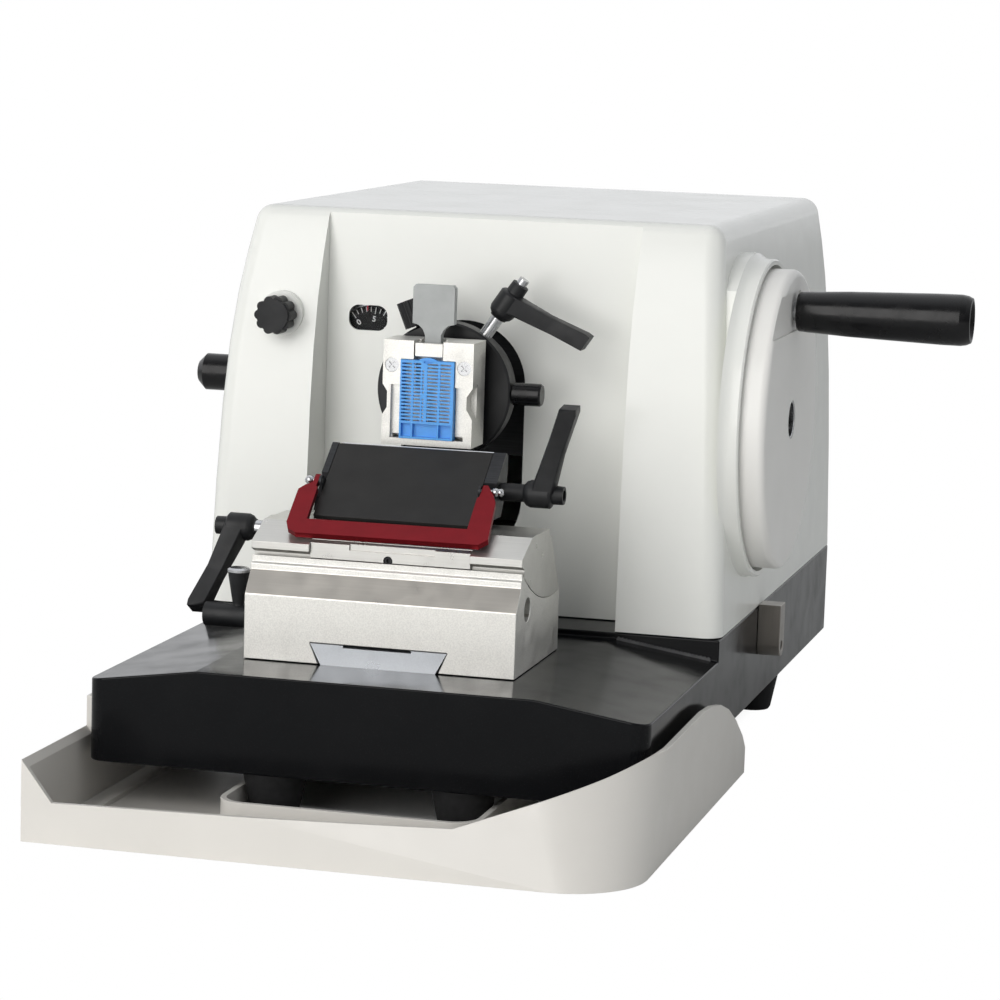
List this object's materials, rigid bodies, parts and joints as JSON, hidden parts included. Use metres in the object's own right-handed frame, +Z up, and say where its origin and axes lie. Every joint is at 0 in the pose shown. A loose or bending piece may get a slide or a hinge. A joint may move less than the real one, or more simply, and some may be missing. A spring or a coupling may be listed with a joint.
{
  "type": "rotary microtome",
  "caption": "Manual rotary microtome: enclosed drive with side handwheel, orientable cassette clamp, disposable blade holder on a dovetail rail, red finger guard and slide-out waste tray",
  "frame": {"origin": "on the bench plane under the centre of the machine's overall box", "axes": "+X to the operator's right (handwheel side), +Y away from the operator, +Z up"},
  "size_m": [0.4194, 0.587, 0.291],
  "materials": {
    "base_black": "gloss black stove enamel",
    "foot_rubber": "matt moulded rubber",
    "cover_white": "gloss off-white moulding",
    "tray_white": "satin warm white moulding",
    "wheel_white": "satin warm white moulding",
    "aluminium": "milled and clear anodised",
    "steel": "turned",
    "black_plastic": "moulded, fine texture",
    "black_gloss_plastic": "polished",
    "black_steel": "black oxide",
    "guard_red": "red anodised",
    "cassette_blue": "moulded acetal",
    "lever_grey": "grey moulding",
    "blade_steel": "ground and polished",
    "lens_clear": "clear",
    "dial_black": "matt black with white scale"
  },
  "bodies": {
    "machine": {"base_casting": "base_black", "foot_front_left": "foot_rubber", "foot_front_right": "foot_rubber", "foot_rear_left": "foot_rubber", "foot_rear_right": "foot_rubber", "side_lug": "steel", "cover_gasket": "foot_rubber", "cover_edge_seal": "foot_rubber", "cover": "cover_white", "dial_lens": "lens_clear", "dial_bracket": "steel", "bearing_stand": "black_steel", "guide_columns": "steel", "coarse_bush": "black_plastic", "dovetail_rail": "aluminium"},
    "wheel": {"handwheel": "wheel_white", "drive_shaft": "steel", "hub_screw": "steel", "handle_spindle": "steel"},
    "grip": {"handle_grip": "black_gloss_plastic"},
    "slide": {"slide_block": "black_steel"},
    "feed": {"feed_cylinder": "steel", "ball_housing": "black_steel"},
    "lock_lever": {"head_lever": "black_plastic", "head_lever_stud": "steel"},
    "swivel_screw": {"swivel_knob": "black_gloss_plastic"},
    "tilt_screw": {"tilt_knob": "black_plastic"},
    "swivel_ring": {"gimbal_ring": "steel"},
    "clamp": {"head_ball": "steel", "cassette_clamp": "aluminium", "clamp_screws": "steel"},
    "jaw": {"clamp_jaw": "aluminium"},
    "jaw_lever": {"release_lever": "lever_grey"},
    "tissue_cassette": {"cassette": "cassette_blue"},
    "holder": {"holder_base": "aluminium"},
    "holder_lever": {"base_lever": "black_plastic", "base_lever_cap": "steel"},
    "segment": {"blade_segment": "aluminium", "front_plate": "aluminium"},
    "tilt_lever": {"segment_lever": "black_plastic", "segment_shaft": "steel"},
    "carriage": {"blade_carriage": "aluminium", "carriage_cheeks": "black_steel"},
    "knife": {"blade": "blade_steel"},
    "plate": {"pressure_plate": "black_steel"},
    "knife_lever": {"blade_lever": "black_plastic", "cam_rod": "steel"},
    "guard": {"finger_guard": "guard_red", "guard_screws": "steel"},
    "tray": {"waste_tray": "tray_white"},
    "knob": {"thickness_knob": "black_plastic"},
    "dial": {"thickness_dial": "dial_black"},
    "feed_knob": {"coarse_knob": "black_gloss_plastic"}
  },
  "joints": [
    {"name": "wheel_turn", "type": "hinge", "parent": "machine", "child": "wheel", "pos_m": [-0.04375, 0.0225, 0.1865], "axis": [1, 0, 0], "continuous": true},
    {"name": "grip_spin", "type": "hinge", "parent": "wheel", "child": "grip", "pos_m": [0.15625, 0.0225, 0.2445], "axis": [1, 0, 0], "continuous": true},
    {"name": "stroke", "type": "slide", "parent": "machine", "child": "slide", "axis": [0, 0, 1], "range_m": [-0.06, 0]},
    {"name": "feed_advance", "type": "slide", "parent": "slide", "child": "feed", "axis": [0, -1, 0], "range_m": [-0.024, 0.001]},
    {"name": "lock_lever_turn", "type": "hinge", "parent": "feed", "child": "lock_lever", "pos_m": [-0.05275, -0.0598, 0.201], "axis": [0.5592, 0, 0.829], "range_deg": [-60, 0]},
    {"name": "swivel_screw_turn", "type": "hinge", "parent": "feed", "child": "swivel_screw", "pos_m": [-0.01275, -0.0598, 0.201], "axis": [1, 0, 0], "range_deg": [-720, 720]},
    {"name": "tilt_screw_turn", "type": "hinge", "parent": "feed", "child": "tilt_screw", "pos_m": [-0.05275, -0.0598, 0.201], "axis": [-0.3746, 0, 0.9272], "range_deg": [-720, 720]},
    {"name": "head_swivel", "type": "hinge", "parent": "feed", "child": "swivel_ring", "pos_m": [-0.05275, -0.0518, 0.201], "axis": [0, 0, 1], "range_deg": [-8, 8]},
    {"name": "head_tilt", "type": "hinge", "parent": "swivel_ring", "child": "clamp", "pos_m": [-0.05275, -0.0518, 0.201], "axis": [1, 0, 0], "range_deg": [-8, 8]},
    {"name": "jaw_lift", "type": "slide", "parent": "clamp", "child": "jaw", "axis": [0, 0, 1], "range_m": [0, 0.0025]},
    {"name": "jaw_lever_pull", "type": "hinge", "parent": "clamp", "child": "jaw_lever", "pos_m": [-0.05275, -0.0845, 0.2245], "axis": [1, 0, 0], "range_deg": [0, 25], "stiffness_Nm_per_rad": 0.02, "springref_deg": -17.19},
    {"name": "cassette_out", "type": "slide", "parent": "clamp", "child": "tissue_cassette", "axis": [0, -1, 0], "range_m": [0, 0.03]},
    {"name": "holder_slide", "type": "slide", "parent": "machine", "child": "holder", "axis": [0, -1, 0], "range_m": [-0.002, 0.025]},
    {"name": "holder_lever_turn", "type": "hinge", "parent": "holder", "child": "holder_lever", "pos_m": [-0.12675, -0.1715, 0.094], "axis": [1, 0, 0], "range_deg": [-15, 60]},
    {"name": "segment_tilt", "type": "hinge", "parent": "holder", "child": "segment", "pos_m": [-0.04835, -0.1155, 0.214], "axis": [1, 0, 0], "range_deg": [-5, 3]},
    {"name": "tilt_lever_turn", "type": "hinge", "parent": "segment", "child": "tilt_lever", "pos_m": [-0.13375, -0.1395, 0.134], "axis": [1, 0, 0], "range_deg": [-25, 60]},
    {"name": "carriage_shift", "type": "slide", "parent": "segment", "child": "carriage", "axis": [1, 0, 0], "range_m": [-0.02, 0.02]},
    {"name": "knife_out", "type": "slide", "parent": "carriage", "child": "knife", "axis": [-1, 0, 0], "range_m": [0, 0.085]},
    {"name": "plate_open", "type": "hinge", "parent": "carriage", "child": "plate", "pos_m": [-0.05275, -0.15516, 0.14322], "axis": [1, 0, 0], "range_deg": [0, 12.3]},
    {"name": "knife_lever_turn", "type": "hinge", "parent": "carriage", "child": "knife_lever", "pos_m": [0.00625, -0.1235, 0.1587], "axis": [1, 0, 0], "range_deg": [0, 60]},
    {"name": "guard_swing", "type": "hinge", "parent": "carriage", "child": "guard", "pos_m": [-0.05275, -0.14114, 0.16067], "axis": [-1, 0, 0], "range_deg": [0, 150]},
    {"name": "tray_pull", "type": "slide", "parent": "machine", "child": "tray", "axis": [0, -1, 0], "range_m": [0, 0.25]},
    {"name": "thickness_turn", "type": "hinge", "parent": "machine", "child": "knob", "pos_m": [-0.14825, -0.0495, 0.235], "axis": [0, 1, 0], "range_deg": [-22.6, 133.3]},
    {"name": "dial_turn", "type": "hinge", "parent": "machine", "child": "dial", "pos_m": [-0.10675, -0.0195, 0.221], "axis": [0, -1, 0], "range_deg": [-34, 200]},
    {"name": "coarse_turn", "type": "hinge", "parent": "machine", "child": "feed_knob", "pos_m": [-0.20375, 0.0005, 0.196], "axis": [1, 0, 0], "range_deg": [-2250, 100]}
  ],
  "couplings": [
    {"joint": "swivel_screw_turn", "follows": "head_swivel", "ratio": 90},
    {"joint": "tilt_screw_turn", "follows": "head_tilt", "ratio": 90},
    {"joint": "jaw_lift", "follows": "jaw_lever_pull", "m_per_rad": 0.0057},
    {"joint": "plate_open", "follows": "knife_lever_turn", "ratio": 0.2},
    {"joint": "dial_turn", "follows": "thickness_turn", "ratio": 1.5},
    {"joint": "coarse_turn", "follows": "feed_advance", "rad_per_m": 1570.8}
  ]
}
